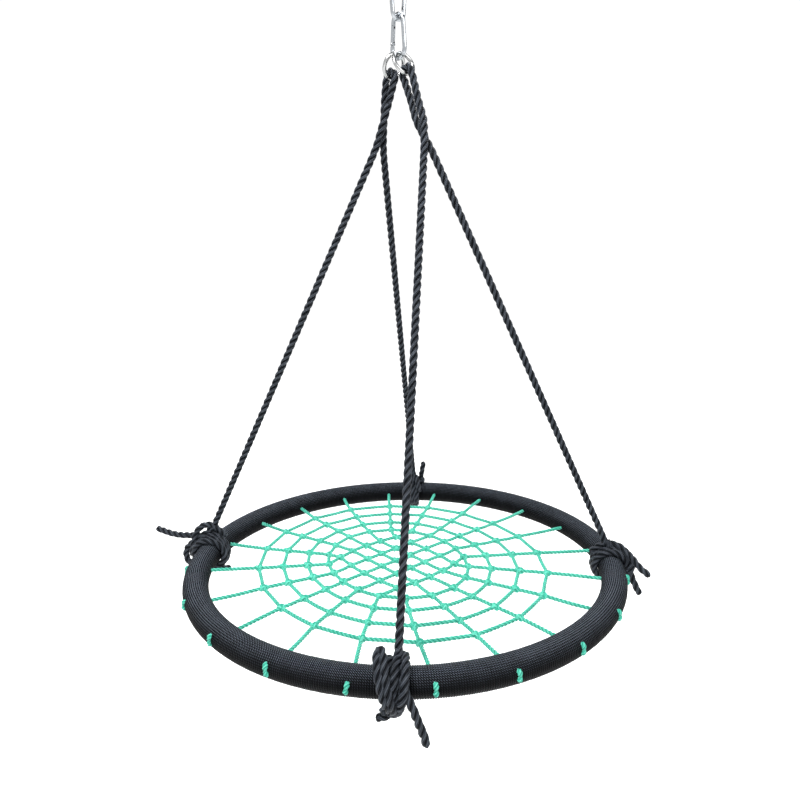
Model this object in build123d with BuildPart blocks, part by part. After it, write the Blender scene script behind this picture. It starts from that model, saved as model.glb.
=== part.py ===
"""Saucer nest swing: a roped round frame with a net seat, hung from two snap hooks.

The origin is the hang point, the top of the space inside the upper snap hook.
+Z is up, +X and +Y point at two of the four places where the ropes hold the frame.
All sizes are in millimetres.
"""

import os
from math import asin, cos, degrees, pi, radians, sin, sqrt, tan

from build123d import *

os.makedirs("parts", exist_ok=True)

# ---------------------------------------------------------------- driving sizes
# Snap hooks: bent round wire, one wide and one narrow bow, a sprung gate on one side
HOOK_LENGTH = 90.0
HOOK_WIRE = 9.0
WIDE_BOW = 18.5  # radius of the wire's middle line
NARROW_BOW = 14.5
GATE_BORE = 6.2
HINGE_SHOULDER = 4.0  # where the wire ends, along the straight side from the wide bow
HINGE_AT = 9.0
TONGUE_END = 13.0
GATE_FROM = 6.6
GATE_TO = 42.3
NOSE_FROM = 43.0
KEY_FROM = 37.5
LATCH_AT = 39.8
TONGUE = 3.6
SLOT = 4.2
RIVET = 3.0
LATCH_PIN = 2.4
FIT = 0.15
HANG_GAP = 0.3  # air between two pieces that hang in each other

# O-rings
RING_WIRE = 8.0
RING_RADIUS = 24.0
RING_LEAN = 26.0  # degrees each ring leans outwards on the bow

# Frame
FRAME_OUTER = 1000.0
TUBE_RADIUS = 27.75
WRAP_CORD = 4.3
HOOP_RADIUS = 13.0
HOOP_WALL = 2.0
FRAME_DROP = 1238.0  # from the hang point down to the middle of the frame

# Ropes
ROPE = 16.0
SPLIT_LEFT = (65.0, 315.0)  # how far out and how far down each rope parts into its two legs
SPLIT_RIGHT = (84.0, 330.0)
HITCH_WIDTH = 72.0
HITCHES = {"front": -89, "right": 0, "back": 90, "left": 176.2}  # degrees round the frame
FEET = {"front": (-88, 100), "right": (0, 98), "back": (90, 90), "left": (173.4, 78)}  # round it and the tube

# Net
NET_CORD = 9.0
KNOT = 17.0
GRID_PITCH_U = 52.0
GRID_PITCH_V = 43.0
GRID_BULGE = 10.0
NET_ROUNDS = (171.0, 222.0, 281.0, 340.0)
NET_SQUEEZE = 16.0  # how much the rounds are drawn in across the square mesh's short side
SQUEEZE_AT = 30.0
SPOKES = 20
NET_SHIFT = Vector(-20, -2, 0)
STOPPER_CORD = 8.0
STOPPER_SWING = 17.0  # degrees above and below the outermost line of the frame

FRAME_RADIUS = FRAME_OUTER / 2 - TUBE_RADIUS
UP = Vector(0, 0, 1)


def flat(angle: float, radius: float = 1.0, z: float = 0.0) -> Vector:
    """A point at an angle round Z, a radius out and a height."""
    return Vector(radius * cos(radians(angle)), radius * sin(radians(angle)), z)


def save(builder: BuildPart, label: str) -> None:
    """Label a finished piece and write it."""
    builder.part.label = label
    export_step(builder.part, f"parts/{label}.step")


# ---------------------------------------------------------------- snap hooks
BOW_SPAN = HOOK_LENGTH - HOOK_WIRE - WIDE_BOW - NARROW_BOW
SIDE_SLANT = asin((WIDE_BOW - NARROW_BOW) / BOW_SPAN)
SIDE_LENGTH = BOW_SPAN * cos(SIDE_SLANT)


def side_point(s: float, inwards: float = 0.0) -> tuple:
    """A point on the straight gate side, s along it from the wide bow, in the hook's plane."""
    across = WIDE_BOW - inwards
    u = -across * cos(SIDE_SLANT) + s * sin(SIDE_SLANT)
    w = across * sin(SIDE_SLANT) + s * cos(SIDE_SLANT)
    return (u, w)


def side_plane(frame: Plane, s: float) -> Plane:
    """The plane across the gate side at s, its normal along the side."""
    along = frame.x_dir * sin(SIDE_SLANT) + frame.y_dir * cos(SIDE_SLANT)
    here = frame.from_local_coords(side_point(s))
    return Plane(origin=here, x_dir=frame.z_dir, z_dir=along)


def side_bar(frame: Plane, start: float, end: float, width: float):
    """Sketch a bar on the gate side, in the hook's plane, between two stations."""
    middle = side_point((start + end) / 2)
    with Locations(middle):
        Rectangle(end - start, width, rotation=90 - degrees(SIDE_SLANT))


def snap_hook(name: str, frame: Plane) -> None:
    """Make the five pieces of one snap hook, with the wide bow's centre at the frame's origin."""
    slant = degrees(SIDE_SLANT)
    with BuildPart() as hook:
        with BuildLine(frame) as wire:
            Line(side_point(HINGE_SHOULDER), side_point(0))
            CenterArc((0, 0), WIDE_BOW, 180 - slant, 180 + 2 * slant)
            mirrored = [side_point(0), side_point(SIDE_LENGTH)]
            Line(*[(-u, w) for u, w in mirrored])
            CenterArc((0, BOW_SPAN), NARROW_BOW, slant, 180 - 2 * slant)
            Line(side_point(SIDE_LENGTH), side_point(NOSE_FROM))
        with BuildSketch(side_plane(frame, HINGE_SHOULDER)):
            Circle(HOOK_WIRE / 2)
        sweep(path=wire.line)
        with BuildSketch(frame):
            side_bar(frame, HINGE_SHOULDER - 2, HINGE_AT, 7.2)
            with Locations(side_point(HINGE_AT)):
                Circle(7.2 / 2)
            side_bar(frame, KEY_FROM, NOSE_FROM + 2, 6.6)
        extrude(amount=TONGUE / 2, both=True)
        with BuildSketch(frame):
            with Locations(side_point(HINGE_AT)):
                Circle(RIVET / 2 + FIT)
            with Locations(side_point(LATCH_AT)):
                Circle(LATCH_PIN / 2 + 3 * FIT)
            with Locations(side_point(LATCH_AT, 2.5)):
                Rectangle(LATCH_PIN + 6 * FIT, 5, rotation=90 - slant)
        extrude(amount=TONGUE, both=True, mode=Mode.SUBTRACT)
    save(hook, f"{name}_hook")

    with BuildPart() as gate:
        with BuildSketch(side_plane(frame, GATE_FROM)):
            Circle(HOOK_WIRE / 2)
            Circle(GATE_BORE / 2, mode=Mode.SUBTRACT)
        extrude(amount=GATE_TO - GATE_FROM)
        with BuildSketch(frame):
            side_bar(frame, GATE_FROM - 1, TONGUE_END + 1, HOOK_WIRE + 4)
            side_bar(frame, KEY_FROM - 1, GATE_TO + 1, HOOK_WIRE + 4)
        extrude(amount=SLOT / 2, both=True, mode=Mode.SUBTRACT)
        with BuildSketch(frame):
            with Locations(side_point(LATCH_AT)):
                Circle(LATCH_PIN / 2)
        extrude(amount=HOOK_WIRE / 2 - 0.4, both=True)
        with BuildSketch(frame):
            with Locations(side_point(HINGE_AT)):
                Circle(RIVET / 2 + FIT)
        extrude(amount=HOOK_WIRE, both=True, mode=Mode.SUBTRACT)
    save(gate, f"{name}_gate")

    with BuildPart() as rivet:
        with BuildSketch(frame):
            with Locations(side_point(HINGE_AT)):
                Circle(RIVET / 2)
        extrude(amount=HOOK_WIRE / 2 + 0.2, both=True)
        heads = (HOOK_WIRE / 2 + 0.2, -HOOK_WIRE / 2 - 1.0)
        for head in heads:
            with BuildSketch(frame.offset(head)):
                with Locations(side_point(HINGE_AT)):
                    Circle(RIVET / 2 + 0.9)
            extrude(amount=0.8)
        head_radius = RIVET / 2 + 0.9
        rims = rivet.edges().filter_by(GeomType.CIRCLE).filter_by(lambda e: abs(e.radius - head_radius) < 0.01)
        rims = rims.sort_by(Axis(frame.origin, frame.z_dir))
        fillet([rims[0], rims[-1]], 0.5)
    save(rivet, f"{name}_rivet")

    with BuildPart() as plunger:
        with BuildSketch(side_plane(frame, TONGUE_END + FIT)):
            Circle(GATE_BORE / 2 - FIT)
        extrude(amount=2.4)
        with BuildSketch(side_plane(frame, TONGUE_END + FIT + 2.4)):
            Circle(1.5)
        extrude(amount=3.0)
    save(plunger, f"{name}_plunger")

    coil_from = TONGUE_END + FIT + 2.4 + FIT
    start = side_plane(frame, coil_from + 0.4)
    with BuildPart() as spring:
        with BuildLine():
            coil = Helix(1.9, 19, 2.4, center=start.origin, direction=start.z_dir)
        with BuildSketch(Plane(origin=coil @ 0, z_dir=coil % 0)):
            Circle(0.35)
        sweep(path=coil, is_frenet=True)
    save(spring, f"{name}_spring")


HANGER_TOP = HOOK_WIRE / 2
HANGER_WIDE = Vector(0, 0, HANGER_TOP - WIDE_BOW)
HANGER_BOTTOM = HANGER_TOP - (HOOK_LENGTH - HOOK_WIRE)
hanger_side = flat(225)
hanger_frame = Plane(origin=HANGER_WIDE, x_dir=hanger_side, z_dir=hanger_side.cross(-UP))
snap_hook("hanger", hanger_frame)

CARABINER_TOP = HANGER_BOTTOM + HOOK_WIRE + HANG_GAP
CARABINER_BOTTOM = CARABINER_TOP - (HOOK_LENGTH - HOOK_WIRE)
CARABINER_WIDE = Vector(0, 0, CARABINER_BOTTOM + WIDE_BOW)
carabiner_side = flat(-45)
carabiner_frame = Plane(origin=CARABINER_WIDE, x_dir=carabiner_side, z_dir=carabiner_side.cross(UP))
snap_hook("carabiner", carabiner_frame)

# ---------------------------------------------------------------- O-rings on the wide bow
RING_REACH = WIDE_BOW - HOOK_WIRE / 2 - RING_WIRE / 2 - HANG_GAP + RING_RADIUS
ROPE_BEND = RING_WIRE / 2 + ROPE / 2 + 2 * HANG_GAP
STRAND_DROP = 9.0  # how far below the ring's wire the two strands start to close up


def lean(outwards: Vector) -> Vector:
    """The direction from the bow's centre through a ring that leans outwards."""
    return outwards * sin(radians(RING_LEAN)) - UP * cos(radians(RING_LEAN))


for name, azimuth in (("ring_left", 135), ("ring_right", -45)):
    down = lean(flat(azimuth))
    centre = CARABINER_WIDE + down * RING_REACH
    across = flat(azimuth - 90)
    with BuildPart(Plane(origin=centre, x_dir=across, z_dir=across.cross(down))) as ring:
        Torus(RING_RADIUS, RING_WIRE / 2)
    save(ring, name)
    print(name, "centre", centre, "axis", across.cross(down))


# ---------------------------------------------------------------- ropes
def corner_radii(points: list[Vector]) -> list[float]:
    """The largest sensible arc at each corner of a route: 0.45 of the shorter run."""
    radii = []
    for before, here, after in zip(points, points[1:], points[2:]):
        turn = radians((here - before).get_angle(after - here))
        run = min((here - before).length, (after - here).length)
        radii.append(0.45 * run / tan(turn / 2))
    return radii


def rope(name: str, points: list[Vector], radii: list[float]) -> None:
    """Sweep a rope along straight runs joined by tangent arcs."""
    with BuildPart() as cord:
        with BuildLine() as route:
            FilletPolyline(*points, radius=radii)
        with BuildSketch(Plane(origin=route.line @ 0, z_dir=route.line % 0)):
            Circle(ROPE / 2)
        sweep(path=route.line)
    save(cord, name)
    length = sum(edge.length for edge in route.line.edges())
    swept = cord.part.volume / (pi * ROPE**2 / 4 * length)
    print(name, "length", round(length, 1), "volume over section times length", round(swept, 4))
    print("   radii", [round(r, 1) for r in radii])


def frame_point(azimuth: float, tube_angle: float, distance: float) -> Vector:
    """A point off the tube's middle line: tube_angle is 0 outwards and 90 straight up."""
    out = FRAME_RADIUS + distance * cos(radians(tube_angle))
    return flat(azimuth, out, distance * sin(radians(tube_angle)) - FRAME_DROP)


def rope_pair(name: str, azimuth: float, split_at: tuple, first: str, second: str) -> None:
    """One rope folded over a ring: up from the first hitch, over the ring, down to the second."""
    outwards = flat(azimuth)
    down = lean(outwards)
    over = CARABINER_WIDE + down * (RING_REACH + RING_RADIUS)
    split = outwards * split_at[0] - UP * split_at[1]
    cross = (flat(HITCHES[first]) - flat(HITCHES[second])).normalized()
    side = outwards * cos(radians(RING_LEAN)) + UP * sin(radians(RING_LEAN))
    strands = []
    for way in (1, -1):
        foot = frame_point(*FEET[first if way == 1 else second], TUBE_RADIUS + ROPE - 2)
        strand = []
        for step, spread in ((1.0, 9.5), (0.66, 8.6), (0.33, 9.2), (0.0, ROPE_BEND)):
            turn = radians(90 * step)
            middle = over + down * STRAND_DROP + (split - over - down * STRAND_DROP) * step
            offset = cross * sin(turn) + side * cos(turn)
            strand.append(middle + offset * spread * way)
        strand.insert(0, foot)
        strand.append(strand[-1] - down * (ROPE_BEND + STRAND_DROP))
        strands.append(strand)
    points = strands[0] + strands[1][::-1]
    radii = corner_radii(points)
    bend = len(strands[0]) - 2
    radii[bend] = ROPE_BEND - 0.01
    radii[bend + 1] = ROPE_BEND - 0.01
    rope(name, points, radii)
    for point in points:
        print("   ", tuple(round(c, 1) for c in point))


rope_pair("rope_left_back", 135, SPLIT_LEFT, "left", "back")
rope_pair("rope_right_front", -45, SPLIT_RIGHT, "right", "front")

TAILS = {
    "front": [(-86.8, 14, 36), (-85.5, -14, 47), (-84.3, -44, 64), (-83.2, -58, 84), (-82.7, -62, 102)],
    "right": [(-0.3, 62, 38), (-1.5, 50, 47), (-3, 36, 52), (-4.6, 20, 55), (-5.6, 6, 66), (-6.2, -1, 80)],
    "back": [(87.6, 74, 36), (87.2, 79, 54), (86.8, 83, 72), (86.5, 80, 90)],
    "left": [(173.2, 44, 38), (173, 28, 60), (172.7, 17, 84)]
    + [(172.3, 12, 109), (171.8, 10.5, 140), (171.2, 10.5, 171)],
}
for side, azimuth in HITCHES.items():
    half = degrees(HITCH_WIDTH / 2 / FRAME_RADIUS)
    face = flat(azimuth - half)
    start = Plane(origin=(0, 0, -FRAME_DROP), x_dir=face, z_dir=face.cross(UP))
    with BuildPart() as hitch:
        with BuildSketch(start):
            with Locations((FRAME_RADIUS, 0)):
                Circle(TUBE_RADIUS + ROPE)
                Circle(TUBE_RADIUS + 0.05, mode=Mode.SUBTRACT)
        revolve(axis=Axis.Z, revolution_arc=2 * half)
    save(hitch, f"hitch_{side}")
    route = [frame_point(*station) for station in TAILS[side]]
    rope(f"tail_{side}", route, corner_radii(route))

# ---------------------------------------------------------------- frame
MID = Plane(origin=(0, 0, -FRAME_DROP), x_dir=(1, 0, 0), z_dir=(0, -1, 0))
WRAP_INNER = TUBE_RADIUS - WRAP_CORD
for name, outer, inner in (
    ("steel_hoop", HOOP_RADIUS, HOOP_RADIUS - HOOP_WALL),
    ("foam_sleeve", WRAP_INNER, HOOP_RADIUS),
    ("rope_wrap", TUBE_RADIUS, WRAP_INNER),
):
    with BuildPart() as shell:
        with BuildSketch(MID):
            with Locations((FRAME_RADIUS, 0)):
                Circle(outer)
                Circle(inner, mode=Mode.SUBTRACT)
        revolve(axis=Axis.Z)
    save(shell, name)

# ---------------------------------------------------------------- net
INNER_FACE = FRAME_RADIUS - TUBE_RADIUS
STOPPER_REACH = TUBE_RADIUS + STOPPER_CORD / 2 + 0.1


def on_net(flat_point: Vector) -> Vector:
    """Shift a net point with the net's middle, less and less towards the frame."""
    share = max(0.0, 1 - (flat_point.length / INNER_FACE) ** 2)
    return flat_point + NET_SHIFT * share - UP * FRAME_DROP


def grid_knot(i: int, j: int) -> Vector:
    """A knot of the square mesh, with the edges bowed outwards."""
    u = i * GRID_PITCH_U + (GRID_BULGE * i / 2 * (1 - (j / 2) ** 2) if abs(i) == 2 else 0)
    v = j * GRID_PITCH_V + (GRID_BULGE * j / 2 * (1 - (i / 2) ** 2) if abs(j) == 2 else 0)
    return on_net(flat(-45, u) + flat(45, v))


def round_knot(level: int, k: int) -> Vector:
    """A knot where spoke k crosses a round."""
    azimuth = 180 / SPOKES * (2 * k + 1)
    drawn_in = NET_SQUEEZE * cos(radians(2 * (azimuth - SQUEEZE_AT)))
    return on_net(flat(azimuth, NET_ROUNDS[level] - drawn_in))


def net_node(name: str, segments: list, ends: tuple = (KNOT / 2, KNOT / 2)) -> None:
    """Straight cords between knots, each stopping inside the knots at its ends."""
    keep = [sqrt(end**2 - (NET_CORD / 2) ** 2) if end else 0.0 for end in ends]
    with BuildPart() as cords:
        for start, end in segments:
            along = (end - start).normalized()
            span = (end - start).length - keep[0] - keep[1]
            with BuildSketch(Plane(origin=start + along * keep[0], z_dir=along)):
                Circle(NET_CORD / 2)
            extrude(amount=span)
    save(cords, name)
    print(name, len(cords.part.solids()), "cords")


CELLS = range(-2, 3)
grid = [(grid_knot(i, j), grid_knot(i + 1, j)) for i in CELLS[:-1] for j in CELLS]
grid += [(grid_knot(i, j), grid_knot(i, j + 1)) for i in CELLS for j in CELLS[:-1]]
net_node("net_grid", grid)

edge = [(2, 2), (2, 2), (1, 2), (0, 2), (-1, 2), (-2, 2), (-2, 2), (-2, 1), (-2, 0), (-2, -1)]
edge += [(-i, -j) for i, j in edge]
net_node("net_arms", [(grid_knot(*edge[k + 1]), round_knot(0, k)) for k in range(-1, SPOKES - 1)])

for level in range(len(NET_ROUNDS)):
    cords = [(round_knot(level, k), round_knot(level, k + 1)) for k in range(SPOKES)]
    if level:
        cords += [(round_knot(level - 1, k), round_knot(level, k)) for k in range(SPOKES)]
    net_node(f"net_round_{level + 1}", cords)

outer_round = len(NET_ROUNDS) - 1
ends = [flat(180 / SPOKES * (2 * k + 1), INNER_FACE - 0.25, -FRAME_DROP) for k in range(SPOKES)]
net_node("net_spokes", [(round_knot(outer_round, k), ends[k]) for k in range(SPOKES)], (KNOT / 2, 0))

with BuildPart() as knots:
    places = [grid_knot(i, j) for i in CELLS for j in CELLS]
    places += [round_knot(level, k) for level in range(len(NET_ROUNDS)) for k in range(SPOKES)]
    with Locations(*places):
        Sphere(KNOT / 2)
save(knots, "net_knots")

with BuildPart() as stoppers:
    for k in range(SPOKES):
        azimuth = 180 / SPOKES * (2 * k + 1)
        centre = frame_point(azimuth, 0, 0)
        foot = frame_point(azimuth, -STOPPER_SWING, STOPPER_REACH)
        along = flat(azimuth + 90)
        with BuildSketch(Plane(origin=foot, x_dir=along, z_dir=(foot - centre).cross(along))):
            Circle(STOPPER_CORD / 2)
        revolve(axis=Axis(centre, flat(azimuth - 90)), revolution_arc=2 * STOPPER_SWING)
save(stoppers, "net_stoppers")
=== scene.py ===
"""Looks of the saucer nest swing: twisted ropes, a wound round frame, a knotted net and zinc fittings.

Everything is in metres in the frame's own axes: the origin is the hang point, +Z is up.
"""

import logging
import math
from collections.abc import Callable, Iterable, Sequence
from dataclasses import dataclass, field
from enum import Enum

import bpy
import numpy as np
from mathutils import Matrix, Vector

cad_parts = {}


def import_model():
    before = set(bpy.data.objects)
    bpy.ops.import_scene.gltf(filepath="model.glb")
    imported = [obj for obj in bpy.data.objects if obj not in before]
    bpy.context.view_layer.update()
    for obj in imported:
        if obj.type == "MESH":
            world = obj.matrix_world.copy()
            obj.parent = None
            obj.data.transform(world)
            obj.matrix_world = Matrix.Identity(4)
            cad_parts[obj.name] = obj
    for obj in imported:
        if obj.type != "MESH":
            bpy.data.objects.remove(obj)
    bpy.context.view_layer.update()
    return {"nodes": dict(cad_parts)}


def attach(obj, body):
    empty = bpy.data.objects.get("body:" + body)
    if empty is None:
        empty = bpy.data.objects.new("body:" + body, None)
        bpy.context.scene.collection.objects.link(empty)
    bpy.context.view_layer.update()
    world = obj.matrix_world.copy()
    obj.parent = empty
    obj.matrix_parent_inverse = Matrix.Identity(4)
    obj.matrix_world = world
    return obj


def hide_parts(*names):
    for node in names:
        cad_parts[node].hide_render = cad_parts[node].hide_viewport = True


log = logging.getLogger("nest_swing")

MM = 0.001
TAU = 2 * math.pi
UP = Vector((0, 0, 1))


# ---------------------------------------------------------------- places on the frame
@dataclass(frozen=True)
class FrameTube:
    """The round frame's tube, as wound: where its middle line runs and how thick it is."""

    drop: float = 1.238
    outer: float = 0.5
    tube: float = 0.02775

    @property
    def radius(self) -> float:
        """Radius of the tube's middle line."""
        return self.outer - self.tube

    @property
    def inner_face(self) -> float:
        """Radius of the hole that the net fills."""
        return self.radius - self.tube

    def point(self, azimuth: float, tube_angle: float, distance_mm: float) -> Vector:
        """A point off the tube's middle line.

        Args:
            azimuth: Degrees round the frame.
            tube_angle: Degrees round the tube, 0 outwards and 90 straight up.
            distance_mm: Distance from the tube's middle line.

        Returns:
            The point.
        """
        tilt = math.radians(tube_angle)
        out = self.radius + distance_mm * MM * math.cos(tilt)
        height = distance_mm * MM * math.sin(tilt) - self.drop
        return flat(azimuth, out, height)


def flat(azimuth: float, radius: float = 1.0, height: float = 0.0) -> Vector:
    """A point round the vertical axis.

    Args:
        azimuth: Degrees round Z.
        radius: Distance from Z.
        height: Height above the origin.

    Returns:
        The point.
    """
    turn = math.radians(azimuth)
    return Vector((radius * math.cos(turn), radius * math.sin(turn), height))


TUBE = FrameTube()


# ---------------------------------------------------------------- shader building
class Source(Enum):
    """Where a pattern takes its coordinates from."""

    OBJECT = "Object"
    STRAND = "UV"


class Wire:
    """A shader socket that Python arithmetic adds Math nodes to."""

    def __init__(self, kit: "ShaderKit", socket: bpy.types.NodeSocket) -> None:
        self.kit = kit
        self.socket = socket

    def __add__(self, other: "Wire | float") -> "Wire":
        """Sum."""
        return self.kit.math("ADD", self, other)

    def __radd__(self, other: float) -> "Wire":
        """Sum with a number first."""
        return self.kit.math("ADD", other, self)

    def __sub__(self, other: "Wire | float") -> "Wire":
        """Difference."""
        return self.kit.math("SUBTRACT", self, other)

    def __rsub__(self, other: float) -> "Wire":
        """Difference with a number first."""
        return self.kit.math("SUBTRACT", other, self)

    def __mul__(self, other: "Wire | float") -> "Wire":
        """Product."""
        return self.kit.math("MULTIPLY", self, other)

    def __rmul__(self, other: float) -> "Wire":
        """Product with a number first."""
        return self.kit.math("MULTIPLY", other, self)

    def __pow__(self, other: "Wire | float") -> "Wire":
        """Power."""
        return self.kit.math("POWER", self, other)

    def __rpow__(self, other: float) -> "Wire":
        """Power with a number first."""
        return self.kit.math("POWER", other, self)


Value = Wire | float | Sequence[float]


class ShaderKit:
    """One material with a Principled shader, and the nodes that feed it."""

    def __init__(self, name: str) -> None:
        """Start an empty material with its shader and output."""
        self.material = bpy.data.materials.new(name)
        self.material.use_nodes = True
        self.tree = self.material.node_tree
        self.tree.nodes.clear()
        self.shader = self.node("ShaderNodeBsdfPrincipled")
        output = self.node("ShaderNodeOutputMaterial")
        self.tree.links.new(self.shader.outputs[0], output.inputs[0])

    def node(
        self, kind: str, settings: dict | None = None, inputs: dict | None = None
    ) -> bpy.types.Node:
        """Add a node.

        Args:
            kind: The node's type name.
            settings: Its own properties; "stops" are a colour ramp's places and colours.
            inputs: Values or wires for its sockets, by name or number.

        Returns:
            The node.
        """
        made = self.tree.nodes.new(kind)
        for key, value in (settings or {}).items():
            if key == "stops":
                ramp = made.color_ramp
                while len(ramp.elements) < len(value):
                    ramp.elements.new(0.5)
                for element, (place, colour) in zip(ramp.elements, value):
                    element.position = place
                    element.color = (*colour, 1.0)
            else:
                setattr(made, key, value)
        for key, value in (inputs or {}).items():
            self.plug(made, key, value)
        return made

    def plug(self, node: bpy.types.Node, key: str | int, value: Value) -> None:
        """Set one socket of a node, or link a wire to it.

        Args:
            node: The node.
            key: The socket's name or number.
            value: A number, some numbers or a wire.
        """
        if isinstance(value, Wire):
            self.tree.links.new(value.socket, node.inputs[key])
        else:
            node.inputs[key].default_value = value

    def wire(self, node: bpy.types.Node, output: str | int = 0) -> Wire:
        """One output of a node as a wire."""
        return Wire(self, node.outputs[output])

    def math(self, operation: str, *values: Wire | float) -> Wire:
        """A Math node on one to three values."""
        sockets = dict(enumerate(values))
        return self.wire(self.node("ShaderNodeMath", {"operation": operation}, sockets))

    def place(self, source: Source) -> Wire:
        """The coordinates of a source as a vector."""
        return self.wire(self.node("ShaderNodeTexCoord"), source.value)

    def split(self, vector: Wire) -> tuple[Wire, Wire, Wire]:
        """The three numbers of a vector."""
        parts = self.node("ShaderNodeSeparateXYZ", None, {0: vector})
        return self.wire(parts, 0), self.wire(parts, 1), self.wire(parts, 2)

    def noise(
        self, vector: Wire, scale: float, detail: float = 3.0, stretch: Sequence[float] = (1, 1, 1)
    ) -> Wire:
        """A noise between 0 and 1.

        Args:
            vector: Where to read it.
            scale: How fine it is.
            detail: How many octaves it has.
            stretch: Factors on the three coordinates.

        Returns:
            The noise's value.
        """
        place = vector
        if tuple(stretch) != (1, 1, 1):
            stretched = {"Vector": vector, "Scale": stretch}
            place = self.wire(self.node("ShaderNodeMapping", None, stretched))
        sockets = {"Vector": place, "Scale": scale, "Detail": detail}
        return self.wire(self.node("ShaderNodeTexNoise", None, sockets), "Fac")

    def ramp(self, factor: Wire, stops: Sequence[tuple[float, Sequence[float]]]) -> Wire:
        """A colour that follows a factor through the stops."""
        return self.wire(self.node("ShaderNodeValToRGB", {"stops": stops}, {"Fac": factor}), "Color")

    def blend(self, factor: Wire | float, first: Value, second: Value) -> Wire:
        """Mix two colours.

        Args:
            factor: Share of the second colour.
            first: The colour at 0.
            second: The colour at 1.

        Returns:
            The mixed colour.
        """
        mix = self.node("ShaderNodeMix", {"data_type": "RGBA"})
        self.plug(mix, 0, factor)
        for key, colour in ((6, first), (7, second)):
            self.plug(mix, key, colour if isinstance(colour, Wire) else (*colour, 1.0))
        return self.wire(mix, 2)

    def bump(self, height: Wire, distance: float, strength: float = 1.0) -> None:
        """Raise the surface a little where a height is large.

        Args:
            height: The pattern, about 0 to 1.
            distance: How far the pattern's 1 stands up.
            strength: Share of the effect.
        """
        sockets = {"Height": height, "Distance": distance, "Strength": strength}
        self.feed("Normal", self.wire(self.node("ShaderNodeBump", None, sockets), "Normal"))

    def feed(self, socket: str, value: Value) -> None:
        """Set or link one of the shader's own sockets."""
        self.plug(self.shader, socket, value)


# ---------------------------------------------------------------- finishes
@dataclass(frozen=True)
class RopeFinish:
    """Twisted filament rope: yarn lines along each strand, with a painted highlight on each strand's outer
    side and painted shade in the gaps between strands.
    """

    name: str
    deep: tuple[float, float, float]
    body: tuple[float, float, float]
    # brightest colour: painted highlight on the strand crowns, with some fibre wear
    highlight_and_wear: tuple[float, float, float]
    roughness: float
    yarns: int
    ior: float

    def material(self) -> bpy.types.Material:
        """Build the rope's material from the strand's own coordinates."""
        kit = ShaderKit(self.name)
        strand = kit.place(Source.STRAND)
        along, around, _ = kit.split(strand)
        yarn = kit.math("SINE", (around * float(self.yarns) + along * 0.42) * TAU)
        # crown: painted highlight on each strand's outer side, painted shade where the strands meet
        crown = kit.math("COSINE", around * TAU) * 0.5 + 0.5
        fibres = kit.noise(strand, 9.0, 4.0, (0.35, 26.0, 1.0))
        patches = kit.noise(kit.place(Source.OBJECT), 55.0, 3.0)
        tone = crown * 0.42 + yarn * 0.07 + fibres * 0.34 + patches * 0.20
        # low tone gives the painted shade between strands, high tone the painted highlight on their crowns
        stops = ((0.26, self.deep), (0.58, self.body), (0.90, self.highlight_and_wear))
        kit.feed("Base Color", kit.ramp(tone, stops))
        kit.feed("Roughness", fibres * 0.22 + (self.roughness - 0.11))
        kit.bump(yarn * 0.5 + fibres, 0.0007, 0.8)
        kit.feed("IOR", self.ior)
        return kit.material


@dataclass(frozen=True)
class WindingFinish:
    """Thin twisted cord laid turn by turn round the frame, with painted highlights on the upper half of
    the tube and on the slanted strands of each turn, and painted shade between turns and underneath.
    """

    name: str
    turns: int
    twists: int
    deep: tuple[float, float, float]
    body: tuple[float, float, float]
    # brightest colour: painted highlight on the top strands of the turns, with some patchy wear
    highlight_and_wear: tuple[float, float, float]

    def material(self) -> bpy.types.Material:
        """Build the winding's material from its place on the tube."""
        kit = ShaderKit(self.name)
        spot = kit.place(Source.OBJECT)
        x, y, z = kit.split(spot)
        azimuth = kit.math("ARCTAN2", y, x)
        out = kit.math("SQRT", x * x + y * y) - TUBE.radius
        tube = kit.math("ARCTAN2", z + TUBE.drop, out)
        turn = azimuth * (self.turns / TAU) + tube * (1 / TAU)
        across = kit.math("FRACT", turn)
        # crown: painted highlight in the middle of each turn, painted shade where turns meet; also a bump
        # height
        crown = across * (1.0 - across) * 4.0
        twist = kit.math("SINE", (tube * (self.twists / TAU) + across * 0.9) * TAU)
        # strand: slanted dashes of the cord's twist, used below as painted highlights on the strands
        strand = kit.math("MAXIMUM", twist, 0.0)
        patches = kit.noise(spot, 38.0, 4.0)
        grain = kit.noise(spot, 900.0, 2.0)
        # painted light from above: upper half of the tube lighter, lower half darker
        painted_top_light = (kit.math("SINE", tube) * 0.5 + 0.5) ** 1.6
        # lit: the winding's painted highlights and shade; patches and grain below are its own tone
        lit = (crown * 0.6 + 0.4) * strand**2 * (painted_top_light * 0.86 + 0.04)
        tone = lit + patches * 0.20 + grain * 0.06
        stops = ((0.18, self.deep), (0.44, self.body), (0.90, self.highlight_and_wear))
        kit.feed("Base Color", kit.ramp(tone, stops))
        kit.feed("Roughness", patches * 0.2 + 0.36)
        kit.bump(strand * 0.8 + crown, 0.0006, 0.8)
        kit.feed("IOR", 1.14)
        return kit.material


@dataclass(frozen=True)
class ZincFinish:
    """Bright zinc plate: faint blotches, drawing lines and small rub marks."""

    name: str
    light: tuple[float, float, float]
    dull: tuple[float, float, float]
    roughness: float

    def material(self) -> bpy.types.Material:
        """Build the plated metal's material."""
        kit = ShaderKit(self.name)
        spot = kit.place(Source.OBJECT)
        blotches = kit.noise(spot, 70.0, 3.0)
        scratches = kit.noise(spot, 420.0, 3.0, (1.0, 1.0, 0.08))
        rubs = kit.math("GREATER_THAN", kit.noise(spot, 190.0, 2.0), 0.70)
        kit.feed("Base Color", kit.blend(blotches * 0.8 + rubs * 0.15, self.light, self.dull))
        kit.feed("Metallic", 1.0)
        kit.feed("Roughness", blotches * 0.16 + scratches * 0.10 + (self.roughness - 0.10))
        kit.bump(scratches + blotches * 0.6, 0.00012, 0.5)
        return kit.material


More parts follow.
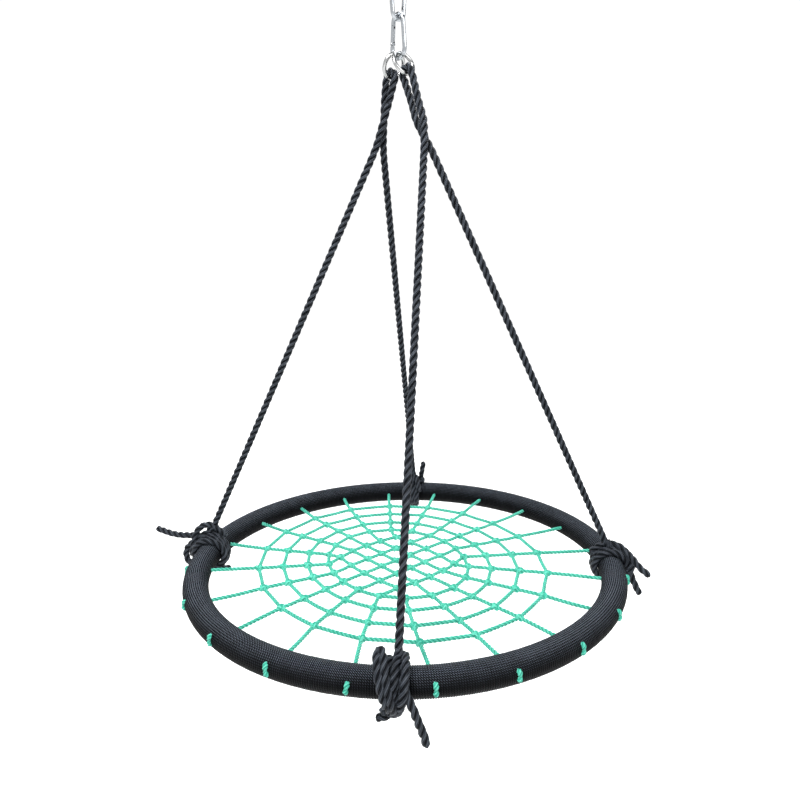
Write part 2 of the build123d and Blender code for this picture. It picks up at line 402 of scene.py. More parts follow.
@dataclass(frozen=True)
class MouldedFinish:
    """A hidden or plain matt surface with a fine pitted grain."""

    name: str
    light: tuple[float, float, float]
    dark: tuple[float, float, float]
    roughness: float
    pits: float
    metallic: float = 0.0
    glow: float = 0.0

    def material(self) -> bpy.types.Material:
        """Build the material."""
        kit = ShaderKit(self.name)
        spot = kit.place(Source.OBJECT)
        pits = kit.noise(spot, self.pits, 3.0)
        clouds = kit.noise(spot, self.pits * 0.04, 2.0)
        kit.feed("Base Color", kit.blend(clouds * 0.6 + pits * 0.4, self.dark, self.light))
        kit.feed("Roughness", pits * 0.2 + (self.roughness - 0.1))
        kit.feed("Metallic", self.metallic)
        kit.bump(pits, 0.0004, 0.6)
        kit.feed("Emission Color", (1.0, 1.0, 1.0, 1.0))
        kit.feed("Emission Strength", self.glow)
        return kit.material


# the third colour of each rope, the net cord and the winding is a painted highlight, with some wear
BLACK_ROPE = RopeFinish(
    "black_rope", (0.0012, 0.0014, 0.0018), (0.006, 0.0075, 0.010), (0.095, 0.108, 0.130), 0.40, 7, 1.18
)
NET_CORD = RopeFinish(
    "net_cord", (0.002, 0.09, 0.06), (0.028, 0.36, 0.25), (0.22, 0.74, 0.58), 0.42, 5, 1.3
)
WINDING = WindingFinish(
    "wrap_cord", 690, 40, (0.0008, 0.0010, 0.0013), (0.004, 0.005, 0.007), (0.15, 0.175, 0.215)
)
ZINC_WIRE = ZincFinish("zinc_wire", (0.47, 0.49, 0.51), (0.27, 0.29, 0.31), 0.20)
ZINC_RING = ZincFinish("zinc_ring", (0.50, 0.50, 0.49), (0.29, 0.30, 0.31), 0.22)
RIVET_STEEL = ZincFinish("rivet_steel", (0.66, 0.67, 0.68), (0.42, 0.43, 0.45), 0.34)
SPRING_STEEL = ZincFinish("spring_steel", (0.50, 0.51, 0.53), (0.30, 0.31, 0.33), 0.30)
FOAM = MouldedFinish("foam", (0.08, 0.08, 0.085), (0.03, 0.03, 0.033), 0.9, 900.0)
HOOP_STEEL = MouldedFinish("hoop_steel", (0.42, 0.43, 0.44), (0.30, 0.31, 0.32), 0.4, 500.0, 0.8)
FLOOR_CARD = MouldedFinish("floor_card", (0.62, 0.62, 0.62), (0.60, 0.60, 0.60), 0.9, 60.0, glow=0.82)


# ---------------------------------------------------------------- cords as meshes
def spline_line(points: Sequence[Vector], fineness: int = 16) -> list[Vector]:
    """The smooth line of a cord: a NURBS spline with the route's points as its control points.

    Args:
        points: The route.
        fineness: Steps between control points.

    Returns:
        The points along the spline.
    """
    curve = bpy.data.curves.new("route", "CURVE")
    curve.dimensions = "3D"
    spline = curve.splines.new("NURBS")
    spline.points.add(len(points) - 1)
    for control, point in zip(spline.points, points):
        control.co = (*point, 1.0)
    spline.order_u = 3
    spline.use_endpoint_u = True
    spline.resolution_u = fineness
    holder = bpy.data.objects.new("route", curve)
    bpy.context.scene.collection.objects.link(holder)
    mesh = bpy.data.meshes.new_from_object(holder)
    line = [vertex.co.copy() for vertex in mesh.vertices]
    bpy.data.objects.remove(holder)
    bpy.data.curves.remove(curve)
    bpy.data.meshes.remove(mesh)
    return line


def even_steps(line: Sequence[Vector], step: float) -> np.ndarray:
    """The same line with its points about one step apart.

    Args:
        line: The line's points.
        step: The wanted distance.

    Returns:
        The new points, one a row.
    """
    places = np.array([tuple(point) for point in line])
    runs = np.linalg.norm(np.diff(places, axis=0), axis=1)
    reach = np.concatenate([[0.0], np.cumsum(runs)])
    count = max(2, int(math.ceil(reach[-1] / step)) + 1)
    stations = np.linspace(0.0, reach[-1], count)
    return np.stack([np.interp(stations, reach, places[:, axis]) for axis in range(3)], axis=1)


def steady_frames(places: np.ndarray) -> tuple[np.ndarray, np.ndarray]:
    """Two directions across a line at each point, turned as little as possible along it.

    Args:
        places: The line's points, one a row.

    Returns:
        The first and the second direction at each point.
    """
    along = np.gradient(places, axis=0)
    along /= np.linalg.norm(along, axis=1)[:, None]
    first = np.cross(along[0], (0.31, 0.55, 0.77))
    first /= np.linalg.norm(first)
    sides = [first]
    for direction in along[1:]:
        side = sides[-1] - direction * np.dot(sides[-1], direction)
        sides.append(side / np.linalg.norm(side))
    side = np.array(sides)
    return side, np.cross(along, side)


def around_section(around: np.ndarray, first: np.ndarray, second: np.ndarray) -> np.ndarray:
    """Directions round a tube's section at each point of a line.

    Args:
        around: The angles round the section.
        first: The direction of angle zero at each point.
        second: The direction a quarter turn on.

    Returns:
        Directions by point and angle.
    """
    cosines = np.cos(around)[None, :, None]
    sines = np.sin(around)[None, :, None]
    return cosines * first[:, None, :] + sines * second[:, None, :]


class MeshParts:
    """Vertices, faces and strand coordinates gathered for one piece."""

    def __init__(self) -> None:
        """Start empty."""
        self.places: list[np.ndarray] = []
        self.faces: list[list[int]] = []
        self.uvs: list[np.ndarray] = []
        self.count = 0

    def add_tube(self, rings: np.ndarray, along: np.ndarray) -> None:
        """Add one closed tube.

        Args:
            rings: Points by ring and place round the ring.
            along: Each ring's distance along the strand, for its coordinates.
        """
        steps, sides = rings.shape[:2]
        base = self.count
        self.places.append(rings.reshape(-1, 3))
        self.count += steps * sides
        row = np.arange(steps - 1)[:, None] * sides
        side = np.arange(sides)[None, :]
        after = (side + 1) % sides
        quads = np.stack([row + side, row + after, row + sides + after, row + sides + side], axis=-1)
        self.faces += (quads.reshape(-1, 4) + base).tolist()
        low, high = along[:-1, None], along[1:, None]
        u = np.stack([low + 0 * side, low + 0 * side, high + 0 * side, high + 0 * side], axis=-1)
        v = np.stack([side, side + 1, side + 1, side], axis=-1) / sides + 0 * low[..., None]
        self.uvs.append(np.stack([u, v], axis=-1).reshape(-1, 2))
        for ring, turn in ((0, -1), (steps - 1, 1)):
            cap = [base + ring * sides + place for place in range(sides)][::turn]
            self.faces.append(cap)
            self.uvs.append(np.tile([[along[ring], 0.0]], (sides, 1)))

    def build(self, name: str, material: bpy.types.Material) -> bpy.types.Object:
        """Make the gathered parts one smooth object.

        Args:
            name: The object's name.
            material: Its finish.

        Returns:
            The object.
        """
        mesh = bpy.data.meshes.new(name)
        mesh.from_pydata(np.concatenate(self.places).tolist(), [], self.faces)
        layer = mesh.uv_layers.new(name="UVMap")
        layer.data.foreach_set("uv", np.concatenate(self.uvs).ravel())
        mesh.polygons.foreach_set("use_smooth", [True] * len(mesh.polygons))
        mesh.materials.append(material)
        piece = bpy.data.objects.new(name, mesh)
        bpy.context.scene.collection.objects.link(piece)
        return piece


@dataclass(frozen=True)
class TwistedCord:
    """A cord of strands laid round each other."""

    diameter: float
    lay: float
    strands: int = 3
    sides: int = 10
    step: float = 0.003
    plump: float = 0.49

    def lay_along(
        self,
        parts: MeshParts,
        line: Sequence[Vector],
        start_phase: float = 0.0,
        rounded: tuple[bool, bool] = (False, False),
        swell: Callable[[np.ndarray], np.ndarray] | None = None,
    ) -> np.ndarray:
        """Add the cord's strands along a line.

        Args:
            parts: Where the strands go.
            line: The cord's middle line.
            start_phase: Turn of the first strand at the start, in radians.
            rounded: Whether the start and the end are melted round.
            swell: Factor on the cord's thickness for a share of the way along it.

        Returns:
            The middle line's points.
        """
        places = even_steps(line, self.step)
        side, other = steady_frames(places)
        steps = len(places)
        reach = np.concatenate([[0.0], np.cumsum(np.linalg.norm(np.diff(places, axis=0), axis=1))])
        thick = self.plump * self.diameter / 2
        offset = self.diameter / 2 - thick
        factor = np.ones(steps) if swell is None else swell(reach / reach[-1])
        for wanted, away in ((rounded[0], reach), (rounded[1], reach[-1] - reach)):
            if wanted:
                share = np.clip(away / (self.diameter * 0.45), 0.0, 1.0)
                factor = factor * np.sqrt(np.clip(1 - (1 - share) ** 2, 0.06, 1.0))
        pitch = math.atan2(TAU * offset, self.lay)
        around = np.arange(self.sides) / self.sides * TAU
        for strand in range(self.strands):
            turn = start_phase + TAU * (reach / self.lay + strand / self.strands)
            out = np.cos(turn)[:, None] * side + np.sin(turn)[:, None] * other
            sweep = -np.sin(turn)[:, None] * side + np.cos(turn)[:, None] * other
            ahead = np.cross(side, other)
            across = sweep * math.cos(pitch) - ahead * math.sin(pitch)
            centre = places + out * (offset * factor)[:, None]
            radius = (thick * factor)[:, None, None]
            spokes = around_section(around, out, across)
            parts.add_tube(centre[:, None, :] + spokes * radius, reach / self.diameter)
        return places


HANGING_ROPE = TwistedCord(0.016, 0.052, sides=12)
NET_LINE = TwistedCord(0.009, 0.028, sides=8, step=0.0032)
STOPPER_LINE = TwistedCord(0.0085, 0.017, sides=8, step=0.0016)


def route(points_mm: Iterable[Sequence[float]]) -> list[Vector]:
    """A route's points, written in millimetres, in metres."""
    return [Vector(point) * MM for point in points_mm]


# ---------------------------------------------------------------- hanging ropes
@dataclass
class HangingRope:
    """One rope folded over a ring: its two legs come down to two of the hitches."""

    name: str
    points_mm: tuple[tuple[float, float, float], ...]
    length: float

    def build(self, material: bpy.types.Material) -> bpy.types.Object:
        """Args:
            material: The rope's finish.

        Returns:
            The finished rope.
        """
        parts = MeshParts()
        line = spline_line(route(self.points_mm), 24)
        path = HANGING_ROPE.lay_along(parts, line)
        piece = parts.build(self.name + "_strands", material)
        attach(piece, "seat")
        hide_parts(self.name)
        return piece


HANGING_ROPES = (
    HangingRope(
        "rope_left_back",
        (
            (-477.7, 55.3, -1197.2),
            (-72.9, 40.2, -356.4),
            (-52.9, 39.5, -315.0),
            (-39.1, 29.0, -275.0),
            (-25.0, 21.8, -235.0),
            (-12.7, 12.7, -195.2),
            (-6.0, 6.0, -175.8),
            (-22.0, 22.0, -164.7),
            (-28.7, 28.7, -184.1),
            (-33.7, 36.6, -230.0),
            (-36.0, 46.2, -272.0),
            (-39.0, 52.5, -315.0),
            (-37.2, 72.3, -356.5),
            (0.0, 472.2, -1196.2),
        ),
        2.278,
    ),
    HangingRope(
        "rope_right_front",
        (
            (466.4, 0.0, -1196.7),
            (87.0, -49.8, -375.3),
            (66.1, -52.6, -330.0),
            (50.9, -42.2, -302.0),
            (36.0, -39.5, -275.0),
            (27.2, -27.9, -238.0),
            (12.7, -12.7, -195.2),
            (6.0, -6.0, -175.8),
            (22.0, -22.0, -164.7),
            (28.7, -28.7, -184.1),
            (39.7, -39.0, -234.0),
            (52.4, -49.0, -275.0),
            (52.5, -61.2, -302.0),
            (52.7, -66.2, -330.0),
            (50.8, -87.1, -375.4),
            (16.2, -464.7, -1196.9),
        ),
        2.274,
    ),
)


# ---------------------------------------------------------------- hitches and tails
Station = tuple[float, float, float]


@dataclass
class Hitch:
    """The knot where a rope holds the frame: turns round the tube, bights over them and loose ends.

    Stations are degrees round the frame from the hitch's middle, degrees round the tube
    and millimetres from the tube's middle line. A tail's stations are from the frame's own zero.
    """

    side: str
    azimuth: float
    foot: tuple[float, float]
    tail: tuple[Station, ...]
    tail_length: float
    hand: int = 1
    turns: float = 3.4
    bights: tuple[tuple[Station, ...], ...] = ()
    stubs: tuple[tuple[Station, ...], ...] = ()
    wide: float = 3.25
    coil: TwistedCord = field(default_factory=lambda: TwistedCord(0.016, 0.052, sides=10))
    per_turn: int = 16
    first_angle: float = 100.0
    slack_mm: float = 0.6
    lift_mm: float = 0.9
    spread: float = 0.74
    spread_on_top: float = 0.26

    def winding(self) -> list[Vector]:
        """Control points of the turns round the tube, closer together underneath than on top."""
        points = []
        count = int(self.turns * self.per_turn)
        lie = (TUBE.tube + self.coil.diameter / 2) / MM + self.slack_mm
        for place in range(count + 1):
            share = place / count
            tube_angle = self.first_angle - 360 * self.turns * share
            closing = self.spread + self.spread_on_top * math.sin(math.radians(tube_angle))
            along = self.hand * self.wide * (2 * share - 1) * closing
            points.append(TUBE.point(self.azimuth + along, tube_angle, lie + self.lift_mm))
        return points

    def run_in(self) -> list[Vector]:
        """The rope's own end: from its leg down between the turns."""
        azimuth, tube_angle = self.foot
        drift = self.azimuth - azimuth
        return [
            TUBE.point(azimuth, tube_angle, 58),
            TUBE.point(azimuth, tube_angle, 44),
            TUBE.point(azimuth + drift * 0.3, tube_angle - 22, 45),
            TUBE.point(azimuth + drift * 0.6, tube_angle - 52, 46),
            TUBE.point(azimuth + drift, tube_angle - 86, 44),
            TUBE.point(azimuth + drift, tube_angle - 118, 38),
        ]

    def local(self, stations: Sequence[Station]) -> list[Vector]:
        """Stations from the hitch's middle as points."""
        middle, hand = self.azimuth, self.hand
        return [TUBE.point(middle + hand * along, angle, away) for along, angle, away in stations]

    def build_turns(self, material: bpy.types.Material) -> bpy.types.Object:
        """Make the hitch's turns, bights and stubs as one piece.

        Args:
            material: The rope's finish.

        Returns:
            The finished hitch.
        """
        parts = MeshParts()
        self.coil.lay_along(parts, spline_line(self.winding(), 8))
        self.coil.lay_along(parts, spline_line(self.run_in(), 10), 1.0)
        for order, bight in enumerate(self.bights):
            self.coil.lay_along(parts, spline_line(self.local(bight), 12), 0.7 + order)
        for order, stub in enumerate(self.stubs):
            line = spline_line(self.local(stub), 12)
            self.coil.lay_along(parts, line, 1.9 + order, rounded=(False, True))
        piece = parts.build(f"hitch_{self.side}_turns", material)
        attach(piece, "seat")
        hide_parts(f"hitch_{self.side}")
        return piece

    def build_tail(self, material: bpy.types.Material) -> bpy.types.Object:
        """Args:
            material: The rope's finish.

        Returns:
            The finished tail.
        """
        parts = MeshParts()
        line = spline_line([TUBE.point(*station) for station in self.tail], 16)
        path = HANGING_ROPE.lay_along(parts, line, 0.4, rounded=(False, True))
        piece = parts.build(f"tail_{self.side}_strands", material)
        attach(piece, "seat")
        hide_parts(f"tail_{self.side}")
        return piece


HITCHES = (
    Hitch(
        "front",
        -89,
        (-88, 100),
        ((-86.8, 14, 36), (-85.5, -14, 47), (-84.3, -44, 64), (-83.2, -58, 84), (-82.7, -62, 102)),
        0.108,
        wide=2.5,
        bights=(
            (
                (0.0, -64, 46),
                (-1.2, -20, 52),
                (-2.3, 30, 53),
                (-3.3, 72, 56),
                (-2.9, 96, 62),
                (-1.9, 80, 60),
                (-1.2, 36, 54),
                (-0.2, -16, 52),
                (0.6, -60, 46),
            ),
            ((0.8, -70, 46), (1.6, -20, 52), (2.4, 36, 53), (2.7, 84, 50), (2.4, 120, 44)),
        ),
        stubs=(
            ((1.0, -60, 42), (-0.6, -72, 50), (-2.0, -68, 56), (-3.3, -60, 57)),
            ((-1.8, -50, 44), (-1.6, -78, 52), (-0.2, -84, 56), (0.8, -66, 48), (1.2, -44, 44)),
        ),
    ),
    Hitch(
        "right",
        0,
        (0, 98),
        (
            (-0.1, 74, 37), (-0.5, 60, 39), (-1.5, 50, 47), (-3, 36, 52),
            (-4.6, 20, 55), (-5.6, 6, 66), (-6.2, -1, 80),
        ),
        0.096,
        hand=-1,
        bights=(
            ((-2.0, 150, 44), (-1.2, 110, 50), (0.4, 70, 52), (2.0, 36, 50), (3.2, 0, 48), (3.0, -40, 44)),
        ),
        stubs=(
            ((2.0, 10, 42), (3.0, -14, 44), (4.0, -32, 60), (4.6, -41, 84)),
        ),
    ),
    Hitch(
        "back",
        90,
        (90, 90),
        ((88.4, -14, 37), (88.1, 22, 38), (87.8, 58, 38), (87.2, 79, 54), (86.8, 83, 72), (86.5, 80, 90)),
        0.106,
        bights=(
            ((-2.4, 160, 44), (-1.6, 120, 52), (0.0, 84, 56), (1.6, 50, 52), (2.6, 10, 46)),
        ),
        stubs=(
            ((-0.6, 120, 44), (0.6, 104, 56), (1.3, 98, 70)),
        ),
    ),
    Hitch(
        "left",
        176.2,
        (173.4, 78),
        (
            (173.2, 44, 38), (173, 28, 60), (172.7, 17, 84),
            (172.3, 12, 109), (171.8, 10.5, 140), (171.2, 10.5, 171),
        ),
        0.143,
        bights=(
            (
                (-2.6, 130, 44), (-2.8, 100, 54), (-2.6, 74, 66),
                (-1.8, 50, 64), (-0.4, 24, 52), (0.8, -10, 48),
            ),
            (
                (-1.0, 34, 46), (-0.9, 12, 64), (-0.7, -12, 74),
                (-0.4, -34, 70), (0.0, -52, 50), (0.4, -74, 40),
            ),
        ),
        stubs=(
            ((1.6, -120, 42), (1.0, -132, 50), (0.4, -140, 62)),
        ),
    ),
)


# ---------------------------------------------------------------- the wound frame
@dataclass
class WoundFrame:
    """The frame's skin: one thin cord wound side by side round the tube."""

    turns: int = WINDING.turns
    samples: int = 6
    round_sides: int = 48
    cord: float = 0.0043

    def quarter(self, start: float, material: bpy.types.Material) -> bpy.types.Object:
        """Sweep a quarter of the tube and raise the turns on it.

        Args:
            start: Azimuth of its first end, in degrees.
            material: The winding's finish.

        Returns:
            The finished quarter.
        """
        bpy.ops.object.select_all(action="DESELECT")
        turn = math.radians(start)
        bpy.ops.mesh.primitive_circle_add(
            vertices=self.round_sides,
            radius=TUBE.tube,
            fill_type="NGON",
            location=flat(start, TUBE.radius, -TUBE.drop),
            rotation=(math.pi / 2, 0, turn),
        )
        piece = bpy.context.object
        piece.name = f"rope_wrap_{int(start) % 360:03d}"
        bpy.ops.object.transform_apply(location=True, rotation=True, scale=True)
        sweep = piece.modifiers.new("sweep", "SCREW")
        sweep.angle = math.pi / 2
        sweep.axis = "Z"
        sweep.screw_offset = 0
        sweep.steps = self.turns * self.samples // 4
        sweep.render_steps = sweep.steps
        bpy.ops.object.modifier_apply(modifier=sweep.name)
        bpy.ops.object.mode_set(mode="EDIT")
        bpy.ops.mesh.select_all(action="SELECT")
        bpy.ops.mesh.fill_holes(sides=0)
        bpy.ops.mesh.select_all(action="SELECT")
        bpy.ops.mesh.normals_make_consistent(inside=False)
        bpy.ops.mesh.faces_shade_smooth()
        bpy.ops.object.mode_set(mode="OBJECT")
        self.raise_turns(piece.data)
        piece.data.materials.append(material)
        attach(piece, "seat")
        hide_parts("rope_wrap")
        return piece

    def raise_turns(self, mesh: bpy.types.Mesh) -> None:
        """Move each point in or out, so that every turn of cord is round.

        Args:
            mesh: The smooth swept quarter, changed in place.
        """
        flat_places = np.empty(len(mesh.vertices) * 3)
        mesh.vertices.foreach_get("co", flat_places)
        places = flat_places.reshape(-1, 3)
        azimuth = np.arctan2(places[:, 1], places[:, 0])
        out = np.hypot(places[:, 0], places[:, 1]) - TUBE.radius
        height = places[:, 2] + TUBE.drop
        tube = np.arctan2(height, out)
        turn = azimuth * self.turns / TAU + tube / TAU
        across = np.abs(turn - np.floor(turn) - 0.5) * 2
        wobble = 0.12 * np.sin(azimuth * 97) + 0.10 * np.sin(azimuth * 211 + 1.3)
        crown = np.sqrt(np.clip(1 - across**2, 0, 1)) * (1 + wobble * 0.4)
        reach = TUBE.tube - self.cord / 2 + self.cord / 2 * np.clip(crown, 0, 1)
        radius = TUBE.radius + reach * np.cos(tube)
        places[:, 0] = radius * np.cos(azimuth)
        places[:, 1] = radius * np.sin(azimuth)
        places[:, 2] = reach * np.sin(tube) - TUBE.drop
        mesh.vertices.foreach_set("co", places.ravel())
        mesh.update()


# ---------------------------------------------------------------- the net
@dataclass
class Net:
    """A square mesh in the middle, rounds and spokes round it, and stoppers outside the frame."""

    pitch_u: float = 0.052
    pitch_v: float = 0.043
    bulge: float = 0.010
    rounds: tuple[float, ...] = (0.171, 0.222, 0.281, 0.340)
    squeeze: float = 0.016
    squeeze_at: float = 30.0
    drag: float = 1.3
    drag_at: float = 240.0
    spokes: int = 20
    shift: Vector = field(default_factory=lambda: Vector((-0.020, -0.002, 0)))
    cells: range = range(-2, 3)
    seed: int = 7
    bite: float = 0.004
    loop: float = 0.0020
    loop_rise: float = 0.0036
    knot_cord: float = 0.0037
    knot_sides: int = 8
    stopper: tuple[tuple[float, float], ...] = (
        (-20, 24), (-16, 28), (-5, 29.4), (3, 28.6), (11, 29.4), (24, 28), (29, 24)
    )
    stopper_thin: float = 0.72
    stopper_swell: float = 0.52

    def on_net(self, point: Vector) -> Vector:
        """Shift a net point with the net's middle, less and less towards the frame."""
        share = max(0.0, 1 - (point.length / TUBE.inner_face) ** 2)
        return point + self.shift * share - UP * TUBE.drop

    def grid_knot(self, i: int, j: int) -> Vector:
        """A knot of the square mesh, with the edges bowed outwards.

        Args:
            i: Column, -2 to 2.
            j: Row, -2 to 2.

        Returns:
            The knot's middle.
        """
        bow_u = self.bulge * i / 2 * (1 - (j / 2) ** 2) if abs(i) == 2 else 0
        bow_v = self.bulge * j / 2 * (1 - (i / 2) ** 2) if abs(j) == 2 else 0
        u = i * self.pitch_u + bow_u
        v = j * self.pitch_v + bow_v
        return self.on_net(flat(-45, u) + flat(45, v))

    def spoke_azimuth(self, k: int) -> float:
        """The azimuth of spoke k, in degrees."""
        return 180 / self.spokes * (2 * k + 1)

    def end_azimuth(self, k: int) -> float:
        """Where spoke k meets the frame: pulled a little to one side, as a squeezed net does.

        Args:
            k: The spoke's number.

        Returns:
            Degrees round the frame.
        """
        azimuth = self.spoke_azimuth(k)
        return azimuth + self.drag * math.cos(math.radians(2 * (azimuth - self.drag_at)))

    def round_knot(self, level: int, k: int) -> Vector:
        """A knot where a spoke crosses a round.

        Args:
            level: The round, from the inside.
            k: The spoke's number.

        Returns:
            The knot's middle.
        """
        azimuth = self.spoke_azimuth(k)
        drawn_in = self.squeeze * math.cos(math.radians(2 * (azimuth - self.squeeze_at)))
        return self.on_net(flat(azimuth, self.rounds[level] - drawn_in))

    def cords(self) -> dict[str, list[tuple[Vector, Vector]]]:
        """Every straight cord of the net, by the CAD node that it belongs to."""
        inner = self.cells[:-1]
        knot = self.grid_knot
        grid = [(knot(i, j), knot(i + 1, j)) for i in inner for j in self.cells]
        grid += [(knot(i, j), knot(i, j + 1)) for i in self.cells for j in inner]
        edge = [(2, 2), (2, 2), (1, 2), (0, 2), (-1, 2), (-2, 2), (-2, 2), (-2, 1), (-2, 0), (-2, -1)]
        edge += [(-i, -j) for i, j in edge]
        every = range(self.spokes)
        laid = {
            "net_grid": grid,
            "net_arms": [(knot(*edge[(k + 1) % self.spokes]), self.round_knot(0, k)) for k in every],
        }
        for level in range(len(self.rounds)):
            cords = [(self.round_knot(level, k), self.round_knot(level, k + 1)) for k in every]
            if level:
                cords += [(self.round_knot(level - 1, k), self.round_knot(level, k)) for k in every]
            laid[f"net_round_{level + 1}"] = cords
        outer = len(self.rounds) - 1
        reach = TUBE.inner_face + self.bite
        laid["net_spokes"] = [
            (self.round_knot(outer, k), flat(self.end_azimuth(k), reach, -TUBE.drop)) for k in every
        ]
        return laid

    def build_cords(
        self, node: str, cords: list[tuple[Vector, Vector]], material: bpy.types.Material
    ) -> bpy.types.Object:
        """Make the twisted cords of one node, each a little bowed as cord is.

        Args:
            node: The CAD node that they replace.
            cords: Each cord's two ends.
            material: The cord's finish.

        Returns:
            The finished piece.
        """
        chance = np.random.default_rng(self.seed + len(node) + len(cords))
        parts = MeshParts()
        for start, end in cords:
            along = (end - start).normalized()
            side = along.cross(UP)
            bow = float(chance.uniform(-0.0016, 0.0016))
            dip = float(chance.uniform(-0.0012, 0.0006))
            middle = (start + end) / 2 + side * bow + UP * dip
            line = spline_line([start, start.lerp(middle, 0.5), middle, middle.lerp(end, 0.5), end], 4)
            NET_LINE.lay_along(parts, line, float(chance.uniform(0, TAU)))
        piece = parts.build(f"{node}_strands", material)
        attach(piece, "seat")
        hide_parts(node)
        return piece

    def knot_line(self, steps: int = 30) -> np.ndarray:
        """The middle line of one netting knot: three overlapped loops pulled tight.

        Args:
            steps: Steps along the line.

        Returns:
            The line's points, one a row.
        """
        turn = np.linspace(0, TAU, steps + 1)
        x = np.sin(turn) + 2 * np.sin(2 * turn)
        y = np.cos(turn) - 2 * np.cos(2 * turn)
        z = -np.sin(3 * turn)
        return np.stack([x * self.loop, y * self.loop, z * self.loop_rise], axis=1)

    def build_knots(self, material: bpy.types.Material) -> bpy.types.Object:
        """Make all the net's knots, copies of one with its own turn and size each.

        Args:
            material: The cord's finish.

        Returns:
            The finished piece.
        """
        chance = np.random.default_rng(self.seed)
        places = [self.grid_knot(i, j) for i in self.cells for j in self.cells]
        levels = range(len(self.rounds))
        places += [self.round_knot(level, k) for level in levels for k in range(self.spokes)]
        line = self.knot_line()
        along = np.gradient(line, axis=0)
        along /= np.linalg.norm(along, axis=1)[:, None]
        side = line - along * np.sum(line * along, axis=1)[:, None]
        side /= np.linalg.norm(side, axis=1)[:, None]
        other = np.cross(along, side)
        around = np.arange(self.knot_sides) / self.knot_sides * TAU
        shape = line[:, None, :] + around_section(around, side, other) * self.knot_cord
        parts = MeshParts()
        for place in places:
            turn = float(chance.uniform(0, TAU))
            size = float(chance.uniform(0.92, 1.08))
            spin = np.array(Matrix.Rotation(turn, 3, "Z")) * size
            outwards = math.atan2(place.y, place.x)
            squash = np.array(Matrix.Rotation(outwards, 3, "Z") @ Matrix.Diagonal((1.12, 0.9, 1.0)))
            moved = shape @ spin.T @ squash.T + np.array(tuple(place))
            parts.add_tube(moved, np.linspace(0, 3.2, len(line)) + turn)
        piece = parts.build("net_knots_tied", material)
        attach(piece, "seat")
        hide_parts("net_knots")
        return piece

    def stopper_thickness(self, share: np.ndarray) -> np.ndarray:
        """A stopper's thickness along it: two lumps with a narrow middle."""
        return self.stopper_thin + self.stopper_swell * np.abs(np.sin(TAU * share))

    def build_stoppers(self, material: bpy.types.Material) -> bpy.types.Object:
        """Make the short doubled loops that hold each spoke on the outside of the frame.

        Args:
            material: The cord's finish.

        Returns:
            The finished piece.
        """
        chance = np.random.default_rng(self.seed + 1)
        parts = MeshParts()
        for k in range(self.spokes):
            azimuth = self.end_azimuth(k)
            lean = float(chance.uniform(-0.25, 0.25))
            height = float(chance.uniform(0.85, 1.08))
            points = [
                TUBE.point(azimuth + lean * angle / 25, angle * height, away)
                for angle, away in self.stopper
            ]
            line = spline_line(points, 8)
            phase = float(chance.uniform(0, TAU))
            STOPPER_LINE.lay_along(parts, line, phase, swell=self.stopper_thickness)
        piece = parts.build("net_stoppers_tied", material)
        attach(piece, "seat")
        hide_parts("net_stoppers")
        return piece


# ---------------------------------------------------------------- fittings that keep their CAD shape
@dataclass(frozen=True)
class Fittings:
    """The hooks and rings, and the foam and hoop inside the frame, which only get a finish."""

    chains: tuple[str, ...] = ("hanger", "carabiner")
    hook_parts: tuple[tuple[str, str], ...] = (
        ("hook", "zinc_wire"),
        ("gate", "zinc_wire"),
        ("rivet", "rivet_steel"),
        ("plunger", "rivet_steel"),
        ("spring", "spring_steel"),
    )
    others: tuple[tuple[str, str], ...] = (
        ("ring_left", "zinc_ring"),
        ("ring_right", "zinc_ring"),
        ("foam_sleeve", "foam"),
        ("steel_hoop", "hoop_steel"),
    )

    def finishes(self) -> dict[str, bpy.types.Material]:
        """Make the finishes, by name."""
        highlight_and_wear = (ZINC_WIRE, ZINC_RING, RIVET_STEEL, SPRING_STEEL, FOAM, HOOP_STEEL)
        return {finish.name: finish.material() for finish in highlight_and_wear}

    def dress(self, nodes: dict[str, bpy.types.Object]) -> None:
        """Give each of these CAD nodes its finish.

        Args:
            nodes: The CAD's nodes by name.
        """
        finishes = self.finishes()
        wanted = [(f"{chain}_{part}", name) for chain in self.chains for part, name in self.hook_parts]
        for node_name, finish in (*wanted, *self.others):
            node = nodes[node_name]
            if not node.material_slots:
                node.data.materials.append(finishes[finish])
            for place in node.material_slots:
                place.material = finishes[finish]


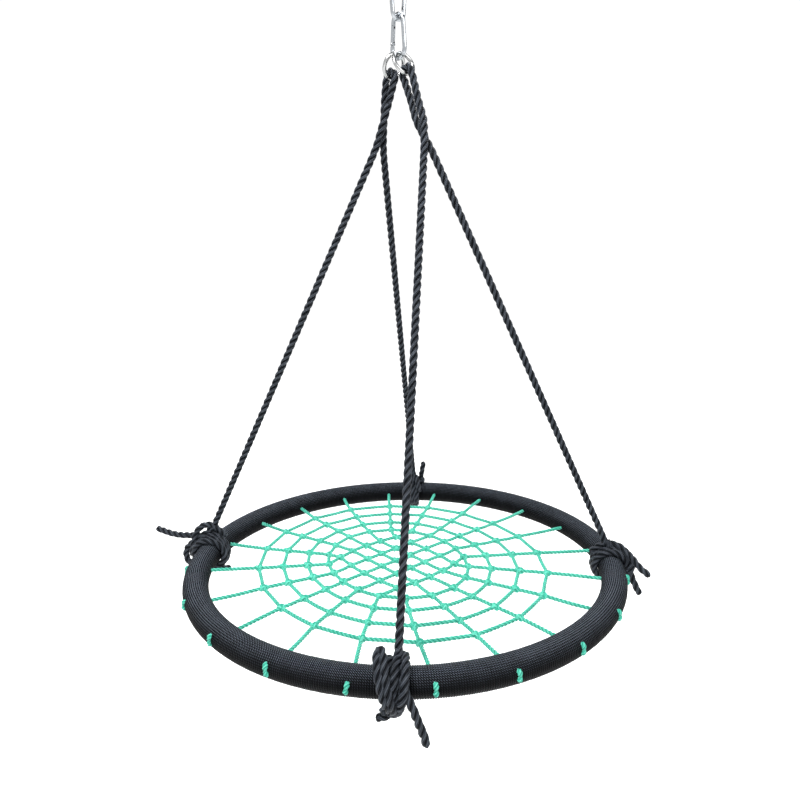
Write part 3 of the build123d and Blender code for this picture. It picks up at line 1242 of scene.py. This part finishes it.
# ---------------------------------------------------------------- studio
@dataclass
class Studio:
    """Camera, floor and soft light."""

    camera_at: tuple[float, float, float] = (0.09578, -1.53080, -0.51236)
    yaw: float = 3.6
    pitch_down: float = 12.516
    roll: float = -0.692
    focal: float = 704.776 / 800 * 36
    shift: float = -2.5 / 800
    floor_gap: float = 0.45
    floor_radius: float = 40.0
    aim: Vector = field(default_factory=lambda: Vector((0, 0, -0.9)))
    sky: tuple[tuple[float, tuple[float, float, float, float]], ...] = (
        (0.34, (1.05, 1.05, 1.05, 1)),
        (0.55, (0.16, 0.17, 0.18, 1)),
    )

    def camera(self) -> None:
        """Place the camera."""
        data = bpy.data.cameras.new("camera")
        data.lens = self.focal
        data.sensor_width = 36
        data.shift_x = self.shift
        data.clip_start = 0.01
        data.clip_end = 60
        camera = bpy.data.objects.new("camera", data)
        turn = Matrix.Rotation(math.radians(self.yaw), 4, "Z")
        tilt = Matrix.Rotation(math.radians(90 - self.pitch_down), 4, "X")
        roll = Matrix.Rotation(math.radians(self.roll), 4, "Z")
        camera.matrix_world = Matrix.Translation(self.camera_at) @ turn @ tilt @ roll
        bpy.context.scene.collection.objects.link(camera)
        bpy.context.scene.camera = camera

    def floor(self, material: bpy.types.Material) -> None:
        """Lay a plain pale floor under the swing.

        Args:
            material: The floor's finish.
        """
        bpy.ops.object.select_all(action="DESELECT")
        height = -TUBE.drop - self.floor_gap
        bpy.ops.mesh.primitive_circle_add(
            vertices=96, radius=self.floor_radius, fill_type="NGON", location=(0, 0, height)
        )
        floor = bpy.context.object
        floor.name = "studio_floor"
        bpy.ops.object.transform_apply(location=True, rotation=True, scale=True)
        floor.data.materials.append(material)

    def lamp(
        self, name: str, azimuth: float, elevation: float, away: float, size: float, power: float
    ) -> None:
        """Hang one square soft lamp that faces the seat.

        Args:
            name: The lamp's name.
            azimuth: Degrees round the swing.
            elevation: Degrees above the seat.
            away: Distance from the seat.
            size: Side of the lamp.
            power: Watts.
        """
        data = bpy.data.lights.new(name, "AREA")
        data.size = size
        data.energy = power
        lamp = bpy.data.objects.new(name, data)
        rise = math.radians(elevation)
        lamp.location = self.aim + flat(azimuth, away * math.cos(rise), away * math.sin(rise))
        lamp.rotation_euler = (self.aim - lamp.location).to_track_quat("-Z", "Y").to_euler()
        bpy.context.scene.collection.objects.link(lamp)

    def light(self) -> None:
        """Light the swing from above with a pale surround."""
        scene = bpy.context.scene
        world = bpy.data.worlds.new("pale_room")
        world.use_nodes = True
        tree = world.node_tree
        direction = tree.nodes.new("ShaderNodeTexCoord")
        height = tree.nodes.new("ShaderNodeSeparateXYZ")
        sky = tree.nodes.new("ShaderNodeValToRGB")
        for element, (place, colour) in zip(sky.color_ramp.elements, self.sky):
            element.position = place
            element.color = colour
        tree.links.new(direction.outputs["Generated"], height.inputs[0])
        tree.links.new(height.outputs["Z"], sky.inputs[0])
        tree.links.new(sky.outputs[0], tree.nodes["Background"].inputs[0])
        scene.world = world
        scene.view_settings.view_transform = "Standard"
        scene.view_settings.look = "None"
        self.lamp("key", -115, 58, 3.2, 1.0, 170)
        self.lamp("fill", -40, 38, 3.4, 1.6, 50)
        self.lamp("rim", 80, 62, 3.4, 1.4, 90)


# ---------------------------------------------------------------- the whole swing
def report(piece: bpy.types.Object) -> None:
    """Log one finished piece."""
    log.info("%s: %d faces", piece.name, len(piece.data.polygons))


def main() -> None:
    """Build the looks of the swing in order."""
    logging.basicConfig(level=logging.INFO, format="%(message)s")
    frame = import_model()
    nodes = frame["nodes"]
    studio = Studio()
    studio.camera()

    rope = BLACK_ROPE.material()
    for hanging in HANGING_ROPES:
        report(hanging.build(rope))
    for hitch in HITCHES:
        report(hitch.build_tail(rope))
    for hitch in HITCHES:
        report(hitch.build_turns(rope))

    winding = WINDING.material()
    wound = WoundFrame()
    for start in (0, 90, 180, 270):
        report(wound.quarter(start, winding))

    green = NET_CORD.material()
    net = Net()
    for node, cords in net.cords().items():
        report(net.build_cords(node, cords, green))
    report(net.build_knots(green))
    report(net.build_stoppers(green))

    Fittings().dress(nodes)
    studio.floor(FLOOR_CARD.material())
    studio.light()


if __name__ == "__main__":
    main()
